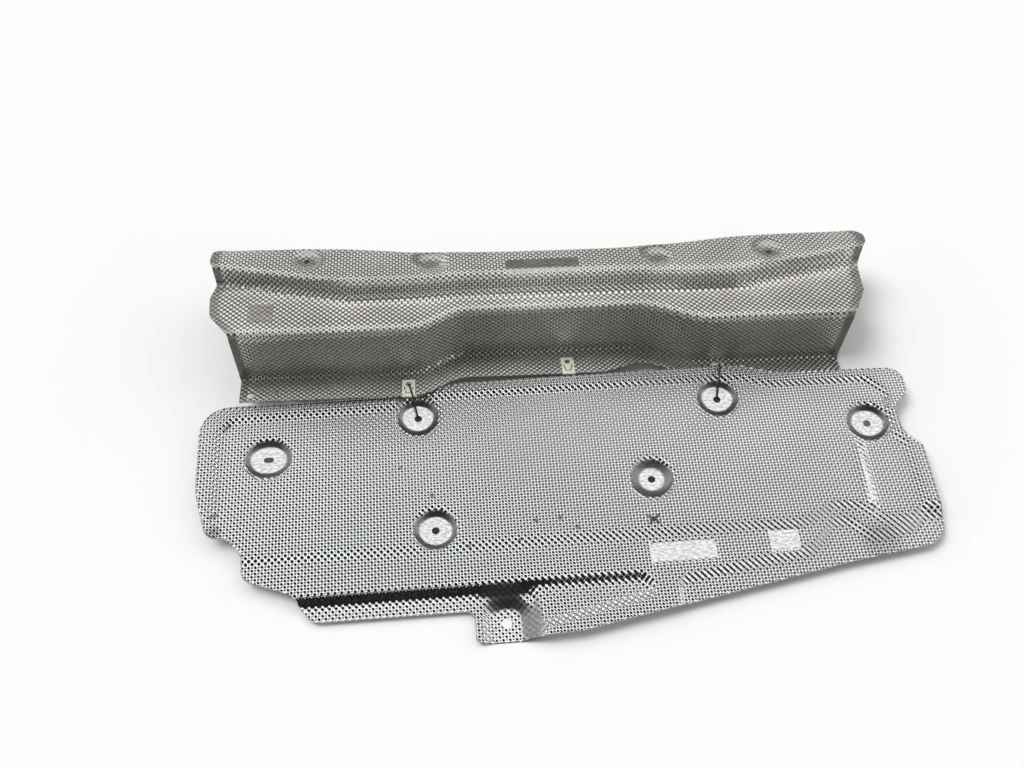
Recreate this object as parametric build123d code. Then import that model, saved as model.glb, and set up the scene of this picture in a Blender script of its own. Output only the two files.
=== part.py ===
"""Exhaust heat shield set: an embossed tunnel shield and a flat shield, tied together at their fixing holes.

Both panels are stamped from thin aluminium sheet. The flat shield lies in front, on its tab. The tunnel
shield stands behind it on its rear wall. Its front flange passes over the flat shield's rear edge at the left
and under it at the right. Spring clips sit on that flange, and two thin nylon ties loop through clip holes
and seat holes. X runs along the flat shield, Y to the rear and Z up. Sizes are in millimetres.
"""

import os
from math import atan2, cos, degrees, pi, radians, sin, tan

from build123d import *

# Sheet and rest height
SHEET = 1.0
FIELD_HEIGHT = 18.0
TAB_SEAT_DEPTH = FIELD_HEIGHT - SHEET

# Flat shield: rear edge, front edge, ends
FLAT_LEFT = -401.0
FLAT_RIGHT = 417.0
FLAT_REAR = 160.0
FLAT_REAR_LEFT = FLAT_REAR - 13.0
FLAT_REAR_RIGHT = FLAT_REAR - 14.0
FLAT_FRONT = -117.0
FLAT_TAB_FRONT = -152.0

# Flat shield: levels above and below the field
RIM_RISE = 3.0
RIM_WIDTH = 17.0
SIDE_RIM_WIDTH = 22.0
TERRACE_DROP = 2.5
BORDER_DROP = 5.5
POCKET_DROP = 7.5
FLANGE_DROP = 11.0
STEP_SLANT = 40.0
SOFT_SLANT = 60.0

# Flat shield: front creases
TERRACE_LINE = -48.5
FLANGE_LINE = -99.5
POCKET_LINE = -95.0

# Flat shield: seats and holes
SEAT_DEPTH = 5.0
SEAT_DIAMETER = 34.0
SEAT_WALL_RUN = 9.0
SMALL_SEAT_DIAMETER = 29.0
WIDE_WALL_RUN = 13.0
SEAT_HOLE = 8.6
SLOT_SEAT_LENGTH = 39.0
SLOT_LENGTH = 11.4
SLOT_WIDTH = 6.6
TIE_SEAT_LEFT = (-152.0, FLAT_REAR - 41.0)
TIE_SEAT_RIGHT = (196.0, FLAT_REAR - 42.0)
FRONT_SEAT = (-138.0, -24.0)
MIDDLE_SEAT = (105.0, 20.0)
RIGHT_SEAT = (362.5, 72.5)
SLOT_SEAT = (-322.0, 78.0)

# Flat shield: tab and bead
TAB_LEFT = -101.5
TAB_SEAT_WIDTH = 38.0
TAB_HOLE = (-68.5, -130.5)
TAB_HOLE_DIAMETER = 11.5
TAB_ARCH = 18.0
BEAD_AT = (343.5, 4.0)
BEAD_LENGTH = 90.0
BEAD_WIDTH = 10.0
BEAD_RISE = 2.5

# Tunnel shield: placing
TUNNEL_REAR = FLAT_REAR + 22.0
TUNNEL_YAW = -1.04
TUNNEL_ROLL = 1.3
TUNNEL_RIGHT_FOOT = 351.0

# Tunnel shield: section
FOLD_RADIUS = 4.0
FLANGE_SLOPE = 18.0
FLANGE_DEPTH = 41.5
FLANGE_DIP = 16.0
FLANGE_DEPTH_RIGHT = 32.0
WALL_HEIGHT = 85.0
WALL_LEAN = 2.0
SHELF_SLOPE = 11.0
ROOF_SLOPE = 14.0
STEP_RISE = 22.0
STEP_RUN = 6.5
STEP_BACK = 55.0
STEP_FLARE = 34.0
ROOF_BACK = 108.0
ROOF_FLARE = 21.0
REAR_LEAN = 8.0
REAR_REACH = 140.0

# Tunnel shield: stretches along its length
JOG_DEPTH = 23.0
JOG_LEFT = (-155.0, -92.0)
JOG_RIGHT = (105.0, 190.0)
FLARE_LEFT = (-376.0, -225.0)
FLARE_RIGHT = (225.0, 378.0)
ROOF_FLARE_LEFT = (-280.0, -50.0)
ROOF_FLARE_RIGHT = (70.0, 270.0)
DIP_SPAN = (62.0, 125.0)
DIP_END = 185.0
RAMP_STEPS = 5
STATION_GAP = 4.0
OVERRUN = 12.0

# Tunnel shield: holes and roof dimples
EDGE_HOLE_AT = (-343.0, 11.0)
EDGE_HOLE = 9.0
EDGE_SLOT_AT = (-314.0, 15.0)
EDGE_SLOT_LENGTH = 10.0
EDGE_SLOT_WIDTH = 5.0
DIMPLE_AT = (-274.0, -130.0, 137.0, 270.0)
DIMPLE_SETBACK = (33.0, 30.0, 26.0, 24.0)
DIMPLE_BORED = (True, False, False, True)
DIMPLE_DIAMETER = 35.0
DIMPLE_SEAT = 24.0
DIMPLE_DEPTH = 3.5
DIMPLE_HOLE = 6.5
DIMPLE_LIP = 1.5

# Edge clips
CLIP_AT = {"edge_clip_left": -161.0, "edge_clip_middle": 27.0, "edge_clip_right": 207.0}
CLIP_WIDTH = 15.0
CLIP_TOP = 27.5
CLIP_BOTTOM = 24.0
CLIP_SHEET = 0.7
CLIP_GAP = 0.25
CLIP_HOLE_BACK = 20.0
CLIP_HOLE = 7.0
FLANGE_HOLE = 9.5
TONGUE_SETBACK = 3.0
TONGUE_LENGTH = 12.0
TONGUE_ROOT = 9.0
TONGUE_TIP = 4.0
TONGUE_SLIT = 1.4

# Ties
TIE = 2.0
TIE_GAP = 0.35
TIE_BEND = 2.2
TIE_EDGE_BEND = 3.0
TIE_SLACK = 1.0

# Cutters that reach past the whole part
DEEP = 60.0
WIDE = 700.0
FAR_FRONT = -300.0


def ramp(at, span):
    """Goes smoothly from 0 to 1 over a span."""
    share = min(max((at - span[0]) / (span[1] - span[0]), 0.0), 1.0)
    return (1 - cos(pi * share)) / 2


def slope(at, span):
    """Goes evenly from 0 to 1 over a span."""
    return min(max((at - span[0]) / (span[1] - span[0]), 0.0), 1.0)


def rounded(corners):
    """A closed face from (x, y, radius) corners."""
    points = [(x, y) for x, y, radius in corners]
    radii = [radius for x, y, radius in corners]
    return make_face(FilletPolyline(*points, radius=radii, close=True))


# Flat shield


def outline():
    """The trimmed edge of the flat shield, clockwise from its rear left corner."""
    notch = FLAT_RIGHT - 19
    corner = FLAT_LEFT + 54
    corners = [
        (FLAT_LEFT, FLAT_REAR_LEFT, 34),
        (-152, FLAT_REAR_LEFT, 40),
        (-108, FLAT_REAR, 40),
        (226, FLAT_REAR, 50),
        (268, FLAT_REAR_RIGHT, 50),
        (FLAT_RIGHT, FLAT_REAR_RIGHT - 5, 18),
        (FLAT_RIGHT, 108, 18),
        (notch, 88, 20),
        (notch, 57, 20),
        (FLAT_RIGHT, 37, 20),
        (FLAT_RIGHT, -79, 30),
        (300, -96, 150),
        (10, -150, 60),
        (-40, FLAT_TAB_FRONT, 30),
        (TAB_LEFT, FLAT_TAB_FRONT, 6),
        (TAB_LEFT, FLAT_FRONT, 10),
        (-272, FLAT_FRONT, 16),
        (-294, -87, 16),
        (corner, -67, 16),
        (corner, -38, 20),
        (FLAT_LEFT + 35, -17, 18),
        (FLAT_LEFT + 15, -17, 14),
        (FLAT_LEFT, 40, 120),
    ]
    return rounded(corners)


def field_edge():
    """The inside line of the raised rim."""
    left = FLAT_LEFT + SIDE_RIM_WIDTH
    right = FLAT_RIGHT - SIDE_RIM_WIDTH + 3
    corners = [
        (left, FAR_FRONT, 0.5),
        (left, FLAT_REAR_LEFT - RIM_WIDTH, 24),
        (-200, FLAT_REAR_LEFT - RIM_WIDTH, 60),
        (-122, FLAT_REAR - RIM_WIDTH, 60),
        (222, FLAT_REAR - RIM_WIDTH, 50),
        (262, FLAT_REAR_RIGHT - RIM_WIDTH, 50),
        (right - 24, FLAT_REAR_RIGHT - RIM_WIDTH, 16),
        (right - 4, 104, 14),
        (right - 14, 84, 14),
        (right - 14, 60, 14),
        (right, 40, 14),
        (right, FAR_FRONT, 0.5),
    ]
    return rounded(corners)


def terrace_edge():
    """The first crease from the field to the front, with its bay at the right."""
    return rounded(
        [
            (-WIDE, TERRACE_LINE, 1),
            (262, TERRACE_LINE, 24),
            (296, TERRACE_LINE + 18, 14),
            (322, TERRACE_LINE + 17, 14),
            (343, TERRACE_LINE - 4, 14),
            (WIDE, TERRACE_LINE - 6, 1),
            (WIDE, FAR_FRONT, 1),
            (-WIDE, FAR_FRONT, 1),
        ]
    )


def border_edge():
    """The lower right border, which runs from the front edge round the bay to the right end."""
    return rounded(
        [
            (104, FAR_FRONT, 1),
            (120, -102, 12),
            (270, -79, 14),
            (294, -49, 10),
            (314, -47, 10),
            (334, -71, 10),
            (378, -62, 12),
            (FLAT_RIGHT - 19, -46, 10),
            (WIDE, -46, 1),
            (WIDE, FAR_FRONT, 1),
        ]
    )


def flange_edge():
    """The front flange left of the tab."""
    return rounded(
        [
            (-WIDE, FLANGE_LINE, 1),
            (-36, FLANGE_LINE, 8),
            (-36, FAR_FRONT, 1),
            (-WIDE, FAR_FRONT, 1),
        ]
    )


def pocket_edge():
    """The shallow pocket right of the tab."""
    return rounded(
        [
            (-60, POCKET_LINE, 1),
            (78, POCKET_LINE, 6),
            (91, -111, 5),
            (-30, -137, 8),
            (-60, -137, 1),
        ]
    )


def tab_edge():
    """The tab's own seat, with a rounded rear end and open to the front."""
    middle = TAB_HOLE[0]
    half = TAB_SEAT_WIDTH / 2
    rear = TAB_HOLE[1] + TAB_ARCH
    return rounded(
        [
            (middle - half, FAR_FRONT, 1),
            (middle - half, rear, 13),
            (middle + half, rear, 13),
            (middle + half, FAR_FRONT, 1),
        ]
    )


def sink(edge, floor, slant):
    """A cutter whose floor has this edge and whose walls lean outwards as they rise."""
    lifted = Pos(0, 0, floor) * edge
    return extrude(lifted, DEEP - floor, dir=(0, 0, 1), taper=-slant)


def seat_dish(at, diameter, wall_run):
    """A round dish with a flat floor, as a cutter."""
    rise = SEAT_DEPTH + 2 * RIM_RISE
    run = wall_run * rise / SEAT_DEPTH
    dish = Cone(diameter / 2, diameter / 2 + run, rise, align=(Align.CENTER, Align.CENTER, Align.MIN))
    return Pos(at[0], at[1], -SEAT_DEPTH) * dish


def slot_dish():
    """The dish around the slotted hole."""
    rise = SEAT_DEPTH + 2 * RIM_RISE
    floor = Pos(*SLOT_SEAT, -SEAT_DEPTH) * SlotOverall(SLOT_SEAT_LENGTH, SEAT_DIAMETER)
    return extrude(floor, rise, taper=-degrees(atan2(SEAT_WALL_RUN, SEAT_DEPTH)))


def bead():
    """The stiffening bead beside the right seat."""
    foot = Pos(*BEAD_AT, -1) * Rot(0, 0, 90) * SlotOverall(BEAD_LENGTH, BEAD_WIDTH + 2)
    return extrude(foot, BEAD_RISE + 1, taper=45)


def flat_form():
    """Everything under the flat shield's upper face."""
    form = Pos(0, 0, RIM_RISE) * Box(2 * WIDE, WIDE, DEEP, align=(Align.CENTER, Align.CENTER, Align.MAX))
    form -= sink(field_edge(), 0, STEP_SLANT)
    form += bead()
    form -= sink(terrace_edge(), -TERRACE_DROP, SOFT_SLANT)
    form -= sink(border_edge(), -BORDER_DROP, STEP_SLANT)
    form -= sink(pocket_edge(), -POCKET_DROP, STEP_SLANT)
    form -= sink(flange_edge(), -FLANGE_DROP, STEP_SLANT)
    form -= sink(tab_edge(), -TAB_SEAT_DEPTH, STEP_SLANT)
    for at in (TIE_SEAT_LEFT, TIE_SEAT_RIGHT, FRONT_SEAT, RIGHT_SEAT):
        form -= seat_dish(at, SEAT_DIAMETER, SEAT_WALL_RUN)
    form -= seat_dish(MIDDLE_SEAT, SMALL_SEAT_DIAMETER, WIDE_WALL_RUN)
    form -= slot_dish()
    return form


def through(at, face):
    """A straight cutter down through the whole sheet."""
    return Pos(at[0], at[1], -DEEP) * extrude(face, 2 * DEEP)


def flat_shield():
    """The bright panel: the layer just under its form, trimmed to the outline and pierced."""
    form = flat_form()
    layer = form - Pos(0, 0, -SHEET) * form
    sheet = layer & through((0, 0), outline())
    for at in (TIE_SEAT_LEFT, TIE_SEAT_RIGHT, FRONT_SEAT, MIDDLE_SEAT, RIGHT_SEAT):
        sheet -= through(at, Circle(SEAT_HOLE / 2))
    sheet -= through(TAB_HOLE, Circle(TAB_HOLE_DIAMETER / 2))
    sheet -= through(SLOT_SEAT, SlotOverall(SLOT_LENGTH, SLOT_WIDTH))
    return Pos(0, 0, FIELD_HEIGHT) * sheet


# Tunnel shield, in its own frame: u along the flange fold, v to the rear, w up


def fold_back(u):
    """How far the flange fold stands back, with the jog in the middle."""
    return JOG_DEPTH * (ramp(u, JOG_LEFT) - ramp(u, JOG_RIGHT))


def flange_depth(u):
    """The flange's level depth from fold to free edge."""
    dip = FLANGE_DIP * ramp(u, DIP_SPAN)
    regain = (FLANGE_DEPTH_RIGHT - FLANGE_DEPTH + FLANGE_DIP) * ramp(u, (DIP_SPAN[1], DIP_END))
    return FLANGE_DEPTH - dip + regain


def ends_share(u, left, right):
    """1 at both ends and 0 between the two flares."""
    return 1 - slope(u, left) + slope(u, right)


def bends(u):
    """The section's corners as (v, w), from the flange's free edge to the foot of the rear wall."""
    fold = fold_back(u)
    depth = flange_depth(u)
    flare = ends_share(u, FLARE_LEFT, FLARE_RIGHT)
    roof_flare = 1 - ramp(u, ROOF_FLARE_LEFT) + ramp(u, ROOF_FLARE_RIGHT)
    step_back = STEP_BACK + STEP_FLARE * flare
    roof_back = ROOF_BACK + ROOF_FLARE * roof_flare
    shelf = fold + WALL_LEAN
    shelf_end = WALL_HEIGHT - (step_back - shelf) * tan(radians(SHELF_SLOPE))
    roof = shelf_end + STEP_RISE
    roof_run = roof_back - step_back - STEP_RUN
    roof_end = roof - roof_run * tan(radians(ROOF_SLOPE))
    return [
        (fold - depth, depth * tan(radians(FLANGE_SLOPE))),
        (fold, 0),
        (shelf, WALL_HEIGHT),
        (step_back, shelf_end),
        (step_back + STEP_RUN, roof),
        (roof_back, roof_end),
        (roof_back + REAR_REACH * tan(radians(REAR_LEAN)), roof_end - REAR_REACH),
    ]


def beside(corners, distance):
    """A polyline moved to its left by a distance, with its corners mitred."""
    headings = [atan2(end[1] - start[1], end[0] - start[0]) for start, end in zip(corners, corners[1:])]
    arriving = headings[:1] + headings
    leaving = headings + headings[-1:]
    moved = []
    for (v, w), before, after in zip(corners, arriving, leaving):
        normal = (before + after) / 2 + pi / 2
        reach = distance / cos((after - before) / 2)
        moved.append((v + reach * cos(normal), w + reach * sin(normal)))
    return moved


def turn_side(corners, index):
    """1 where the section turns left at a corner, -1 where it turns right."""
    before, here, after = corners[index - 1 : index + 2]
    cross = (here[0] - before[0]) * (after[1] - here[1]) - (here[1] - before[1]) * (after[0] - here[0])
    return 1 if cross > 0 else -1


def section(u):
    """The sheet's cut face at one place along the tunnel shield."""
    corners = bends(u)
    half = SHEET / 2
    inner = range(1, len(corners) - 1)
    upper = beside(corners, half)
    lower = beside(corners, -half)
    upper_radii = [FOLD_RADIUS - half * turn_side(corners, index) for index in inner]
    lower_radii = [FOLD_RADIUS + half * turn_side(corners, index) for index in inner]
    top = FilletPolyline(*upper, radius=upper_radii)
    under = FilletPolyline(*lower, radius=lower_radii)
    rim = top + under + Line(upper[0], lower[0]) + Line(upper[-1], lower[-1])
    plane = Plane(origin=(u, 0, 0), x_dir=(0, 1, 0), z_dir=(1, 0, 0))
    return plane * make_face(rim)


def stations():
    """The places along the tunnel shield where its section is drawn."""
    places = {FLARE_LEFT[0] - OVERRUN, FLARE_RIGHT[1] + OVERRUN}
    places.update(FLARE_LEFT)
    places.update(FLARE_RIGHT)
    for start, end in (JOG_LEFT, JOG_RIGHT, ROOF_FLARE_LEFT, ROOF_FLARE_RIGHT, DIP_SPAN):
        for step in range(RAMP_STEPS + 1):
            places.add(start + (end - start) * step / RAMP_STEPS)
    kept = []
    for place in sorted(places):
        if not kept or place - kept[-1] > STATION_GAP:
            kept.append(place)
    return kept


def end_trim():
    """The tunnel shield seen from above, with its shaped ends."""
    return rounded(
        [
            (-354, -70, 1),
            (-357, -4, 4),
            (-361, 6, 4),
            (-382, 34, 14),
            (-385, 64, 14),
            (-379, 86, 12),
            (-386, 108, 12),
            (-384, 124, 8),
            (-371, 134, 8),
            (-371, 220, 1),
            (373, 220, 1),
            (373, 132, 8),
            (390, 118, 10),
            (389, 106, 10),
            (379, 86, 14),
            (375, 40, 14),
            (357, 6, 4),
            (353, -4, 4),
            (350, -70, 1),
        ]
    )


def flange_plane(u):
    """Lies on the middle of the flange sheet: origin on its free edge, x along it, y towards the fold."""
    edge = bends(u)[0]
    lean = radians(FLANGE_SLOPE)
    return Plane(origin=(u, *edge), x_dir=(1, 0, 0), z_dir=(0, sin(lean), cos(lean)))


def flange_cut(at, back, face):
    """A cutter square through the flange, some way back from its edge."""
    return flange_plane(at) * Pos(0, back, -SHEET) * extrude(face, 2 * SHEET)


def roof_plane(u, setback):
    """Lies on the middle of the roof sheet, set back from its front fold."""
    corners = bends(u)
    lean = radians(ROOF_SLOPE)
    v = corners[4][0] + setback
    w = corners[4][1] - setback * tan(lean)
    return Plane(origin=(u, v, w), x_dir=(1, 0, 0), z_dir=(0, sin(lean), cos(lean)))


def dimple_shell(bored):
    """A shallow pressed dish, revolved, with its lip in the roof sheet."""
    half = SHEET / 2
    inside = DIMPLE_HOLE / 2 if bored else 0
    lip = DIMPLE_DIAMETER / 2
    seat = DIMPLE_SEAT / 2
    profile = Polyline(
        (inside, -DIMPLE_DEPTH - half),
        (seat + half, -DIMPLE_DEPTH - half),
        (lip + half, -half),
        (lip + DIMPLE_LIP, -half),
        (lip + DIMPLE_LIP, half),
        (lip, half),
        (seat, -DIMPLE_DEPTH + half),
        (inside, -DIMPLE_DEPTH + half),
        close=True,
    )
    return revolve(Plane.XZ * make_face(profile), Axis.Z)


def tunnel_place():
    """Carries the tunnel shield's own frame to where it stands."""
    foot = TUNNEL_RIGHT_FOOT * sin(radians(TUNNEL_ROLL)) + SHEET / 2
    return Pos(0, TUNNEL_REAR, foot) * Rot(0, TUNNEL_ROLL, 0) * Rot(0, 0, TUNNEL_YAW)


def tunnel_shield():
    """The dark panel: a sheet lofted along its sections, pierced, dimpled and cut level at its foot."""
    sheet = loft([section(u) for u in stations()], ruled=True)
    sheet &= extrude(Pos(0, 0, -WIDE) * end_trim(), 2 * WIDE)
    sheet -= flange_cut(EDGE_HOLE_AT[0], EDGE_HOLE_AT[1], Circle(EDGE_HOLE / 2))
    sheet -= flange_cut(EDGE_SLOT_AT[0], EDGE_SLOT_AT[1], SlotOverall(EDGE_SLOT_LENGTH, EDGE_SLOT_WIDTH))
    for at in CLIP_AT.values():
        sheet -= flange_cut(at, CLIP_HOLE_BACK, Circle(FLANGE_HOLE / 2))
    for at, setback, bored in zip(DIMPLE_AT, DIMPLE_SETBACK, DIMPLE_BORED):
        plane = roof_plane(at, setback)
        sheet -= plane * Cylinder(DIMPLE_DIAMETER / 2 + DIMPLE_LIP / 3, 6 * SHEET)
        sheet += plane * dimple_shell(bored)
    placed = tunnel_place() * sheet
    floor = Box(2 * WIDE, 2 * WIDE, WIDE, align=(Align.CENTER, Align.CENTER, Align.MAX))
    return placed - floor


# Edge clips


def clip_profile():
    """The clip's side view: two legs joined by a round nose, as a face in the YZ plane."""
    near = SHEET / 2 + CLIP_GAP
    far = near + CLIP_SHEET
    upper = clip_leg(near, far, CLIP_TOP)
    lower = clip_leg(-far, -near, CLIP_BOTTOM)
    nose = Pos(-CLIP_GAP, 0) * (Circle(far) - Circle(near))
    front = Pos(-CLIP_GAP, 0) * Rectangle(2 * far, 2 * far, align=(Align.MAX, Align.CENTER))
    return upper + lower + (nose & front)


def clip_leg(low, high, length):
    """One leg of the clip's side view."""
    leg = Rectangle(length + CLIP_GAP, high - low, align=(Align.MIN, Align.MIN))
    return Pos(-CLIP_GAP, low) * leg


def tongue_slits():
    """The two slits that free the clip's spring tongue, open towards the nose."""
    tip = TONGUE_SETBACK
    root = tip + TONGUE_LENGTH
    slits = None
    for side in (-1, 1):
        slit = make_face(
            Polyline(
                (side * TONGUE_TIP / 2, tip),
                (side * (TONGUE_TIP / 2 + TONGUE_SLIT), tip),
                (side * (TONGUE_ROOT / 2 + TONGUE_SLIT), root),
                (side * TONGUE_ROOT / 2, root),
                close=True,
            )
        )
        slits = slit if slits is None else slits + slit
    nose_slit = Pos(0, tip + TONGUE_SLIT / 2) * Rectangle(TONGUE_TIP + 2 * TONGUE_SLIT, TONGUE_SLIT)
    return slits + nose_slit


def edge_clip(at):
    """A spring clip pushed over the flange's free edge."""
    side = Plane(origin=(-CLIP_WIDTH / 2, 0, 0), x_dir=(0, 1, 0), z_dir=(1, 0, 0))
    clip = extrude(side * clip_profile(), CLIP_WIDTH)
    clip -= through((0, CLIP_HOLE_BACK), Circle(CLIP_HOLE / 2))
    clip -= extrude(tongue_slits(), DEEP)
    return tunnel_place() * (flange_plane(at) * clip)


# Ties


def tie_loop(clip, seat_at, over_rim):
    """A closed loop of round cord through a clip's hole and a seat's hole, pulled against both."""
    hole = tunnel_place() * (flange_plane(CLIP_AT[clip]) * Location((0, CLIP_HOLE_BACK, 0)))
    edge = tunnel_place() * (flange_plane(CLIP_AT[clip]) * Location((0, 0, 0)))
    along = Vector(hole.position.X - seat_at[0], hole.position.Y - seat_at[1])
    span = along.length
    clear = TIE / 2 + TIE_GAP
    stack = (SHEET / 2 + CLIP_GAP + CLIP_SHEET) / cos(radians(FLANGE_SLOPE)) + clear
    seat_top = FIELD_HEIGHT - SEAT_DEPTH
    at_seat = SEAT_HOLE / 2 - clear
    lean = radians(FLANGE_SLOPE)
    inside = CLIP_HOLE / 2 * cos(lean) - clear - stack * sin(lean)
    at_clip = span - inside
    route = [(at_seat, seat_top + clear + TIE_SLACK)]
    if over_rim:
        rim = FIELD_HEIGHT + RIM_RISE + clear
        outside = (FLAT_REAR - seat_at[1]) * span / along.Y
        route.append((outside - RIM_WIDTH - TIE_SLACK, rim))
        route.append((outside + clear + TIE_SLACK, rim + TIE_SLACK))
    else:
        nose = (edge.position.Y - seat_at[1]) * span / along.Y
        route.append((nose - 2 * TIE_SLACK, edge.position.Z + stack + TIE_SLACK))
    route.append((at_clip, hole.position.Z + inside * tan(lean) + stack + TIE_SLACK / 2))
    route.append((at_clip, hole.position.Z - stack - TIE_SLACK))
    under_seat = seat_top - SHEET - clear - TIE_SLACK / 2
    route.append((SEAT_DIAMETER / 2, under_seat))
    route.append((at_seat, under_seat))
    radii = [TIE_BEND] + [TIE_EDGE_BEND] * (len(route) - 5) + [TIE_BEND] * 4
    plane = Plane(origin=(*seat_at, 0), x_dir=(along.X, along.Y, 0), z_dir=(along.Y, -along.X, 0))
    path = plane * FilletPolyline(*route, radius=radii, close=True)
    start = path.edges().sort_by(Edge.length)[-1]
    cut = Plane(origin=start @ 0.5, z_dir=start % 0.5)
    return sweep(cut * Circle(TIE / 2), path=path)


def build():
    """Every piece by name, moved so that the origin is under the middle of the whole."""
    pieces = {"flat_shield": flat_shield(), "tunnel_shield": tunnel_shield()}
    for name, at in CLIP_AT.items():
        pieces[name] = edge_clip(at)
    pieces["tie_left"] = tie_loop("edge_clip_left", TIE_SEAT_LEFT, False)
    pieces["tie_right"] = tie_loop("edge_clip_right", TIE_SEAT_RIGHT, True)
    whole = Compound(children=[Compound([piece.solid()]) for piece in pieces.values()]).bounding_box()
    centre = whole.center()
    return {name: Pos(-centre.X, -centre.Y, 0) * piece for name, piece in pieces.items()}


if __name__ == "__main__":
    os.makedirs("parts", exist_ok=True)
    for name, piece in build().items():
        export_step(piece, f"parts/{name}.step")
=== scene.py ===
"""Looks of the exhaust heat shield set: two embossed sheet panels, their spring clips and their nylon ties.

Each panel's outer skin is read from the frame and laid out level on a chart. The embossing is a square
lattice of small domes on that chart. It is raised as real geometry on the upper face, over a plain lower
face, and the two faces are closed by the sheet's cut edge. Lengths are in metres, in the frame's own axes.
"""

import math

import bmesh
import bpy
import numpy as np
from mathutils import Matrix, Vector
from mathutils.bvhtree import BVHTree
from mathutils.geometry import delaunay_2d_cdt
from mathutils.kdtree import KDTree

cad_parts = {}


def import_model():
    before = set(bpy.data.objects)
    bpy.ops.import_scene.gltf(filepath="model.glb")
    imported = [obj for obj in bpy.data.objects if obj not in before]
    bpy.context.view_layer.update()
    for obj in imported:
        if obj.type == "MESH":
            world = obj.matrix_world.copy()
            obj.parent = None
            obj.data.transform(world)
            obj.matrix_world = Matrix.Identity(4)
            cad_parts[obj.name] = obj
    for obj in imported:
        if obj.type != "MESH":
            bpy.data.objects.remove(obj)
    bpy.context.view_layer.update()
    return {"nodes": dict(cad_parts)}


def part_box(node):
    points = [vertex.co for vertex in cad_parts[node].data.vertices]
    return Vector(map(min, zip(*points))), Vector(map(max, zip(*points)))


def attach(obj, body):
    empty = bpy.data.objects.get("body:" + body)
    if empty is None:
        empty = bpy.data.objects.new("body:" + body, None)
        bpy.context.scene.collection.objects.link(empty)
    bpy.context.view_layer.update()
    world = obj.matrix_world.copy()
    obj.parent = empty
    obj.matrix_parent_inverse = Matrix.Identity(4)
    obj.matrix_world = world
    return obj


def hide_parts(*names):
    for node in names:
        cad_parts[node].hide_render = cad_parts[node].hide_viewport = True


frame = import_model()

MM = 0.001

# Embossing
PITCH = 5.0 * MM
DEPTH = 0.9 * MM
SHEET = 1.2 * MM
LEAST_SKIN = 0.3 * MM

# Mesh fineness: quads to one dome on the upper and lower faces, and what is left free beside an edge
FINE = 3
COARSE = 0.7
FINE_MARGIN = 0.7 * MM
COARSE_MARGIN = 1.5 * MM
RIM_PARTS = 4
JOIN = 0.00001 * MM
EDGE_STEP = 2.0 * MM
LEAST_EDGE = 0.4 * MM
LEAST_HOLE = 4.0 * MM

# Charts: grid steps and the softening of pressed creases
FLAT_STEP = 1.0 * MM
SEAT_SOFT = 1.0
FLAT_SOFT = 3.0
FLAT_ROLLED = 4.5
ROLLED_LINE = -0.1385
ROLLED_REACH = (8 * MM, 14 * MM)
ROLLED_START = (-0.36, -0.2)
ROLLED_END = (0.2, 0.24)
SEAT_REACH = (18 * MM, 26 * MM)
BAY_CORNER = (0.17, -0.118)
BAY_FADE = 10 * MM
TAB_REACH = (40 * MM, 55 * MM)
TAB_HOLE = (-0.0765, -0.2205)
TUNNEL_STEP = 2.0 * MM
TUNNEL_ACROSS_STEP = 1.0 * MM
TUNNEL_RAYS = 900
TUNNEL_LONG_SOFT = 1.0
TUNNEL_SOFT = 4.0
STEP_SOFT = 8.0
STEP_START = (5 * MM, 12 * MM)
STEP_END = (42 * MM, 52 * MM)
AXIS_Y = 0.160
AXIS_Z = -0.200
SHELF_LINE = 0.130

WELD = 1e-6
SKIN_TURN = math.radians(60)
OUTWARD = 0.05


# Reading the frame's panels


def outer_skin(node, outward):
    """The faces that one can walk to from the panel's highest face without a sharp turn or a turn inwards."""
    skin = bmesh.new()
    skin.from_mesh(frame["nodes"][node].data)
    bmesh.ops.remove_doubles(skin, verts=skin.verts, dist=WELD)
    bmesh.ops.triangulate(skin, faces=skin.faces)
    first = max(skin.faces, key=lambda face: face.calc_center_median().z)
    kept = {first}
    waiting = [first]
    while waiting:
        face = waiting.pop()
        for edge in face.edges:
            for other in edge.link_faces:
                turn = face.normal.angle(other.normal, 0.0)
                if other not in kept and turn < SKIN_TURN and outward(other) > OUTWARD:
                    kept.add(other)
                    waiting.append(other)
    spare = [face for face in skin.faces if face not in kept]
    bmesh.ops.delete(skin, geom=spare, context="FACES")
    return skin


def from_above(face):
    """How far a face looks up."""
    return face.normal.z


def from_axis(face):
    """How far a face looks away from the line under the tunnel."""
    centre = face.calc_center_median()
    away = Vector((0, centre.y - AXIS_Y, centre.z - AXIS_Z)).normalized()
    return face.normal.dot(away)


def rims(skin):
    """The skin's free edges as closed loops of points, the longest first."""
    free = [edge for edge in skin.edges if len(edge.link_faces) == 1]
    beside = {}
    for edge in free:
        for vert in edge.verts:
            beside.setdefault(vert, []).append(edge)
    unused = set(free)
    loops = []
    for edge in free:
        if edge not in unused:
            continue
        unused.discard(edge)
        start, here = edge.verts
        loop = [start.co.copy()]
        while here is not start:
            loop.append(here.co.copy())
            edge = next(found for found in beside[here] if found in unused)
            unused.discard(edge)
            here = edge.other_vert(here)
        loops.append(np.array(loop))
    return sorted(loops, key=lambda loop: -np.ptp(loop, axis=0).max())


def is_hole(loop):
    """Whether a loop in chart places goes round a real hole, and not round a seam in the frame's faces."""
    width = np.ptp(loop, axis=0)
    after = np.roll(loop, -1, axis=0)
    area = abs((loop[:, 0] * after[:, 1] - loop[:, 1] * after[:, 0]).sum()) / 2
    return width.min() > LEAST_HOLE and area > width.prod() / 2


def edges_of(rim_loops):
    """The panel's outline, then its holes, with evenly spaced points."""
    outline, *others = rim_loops
    return [spaced(outline)] + [spaced(loop) for loop in others if is_hole(loop)]


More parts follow.
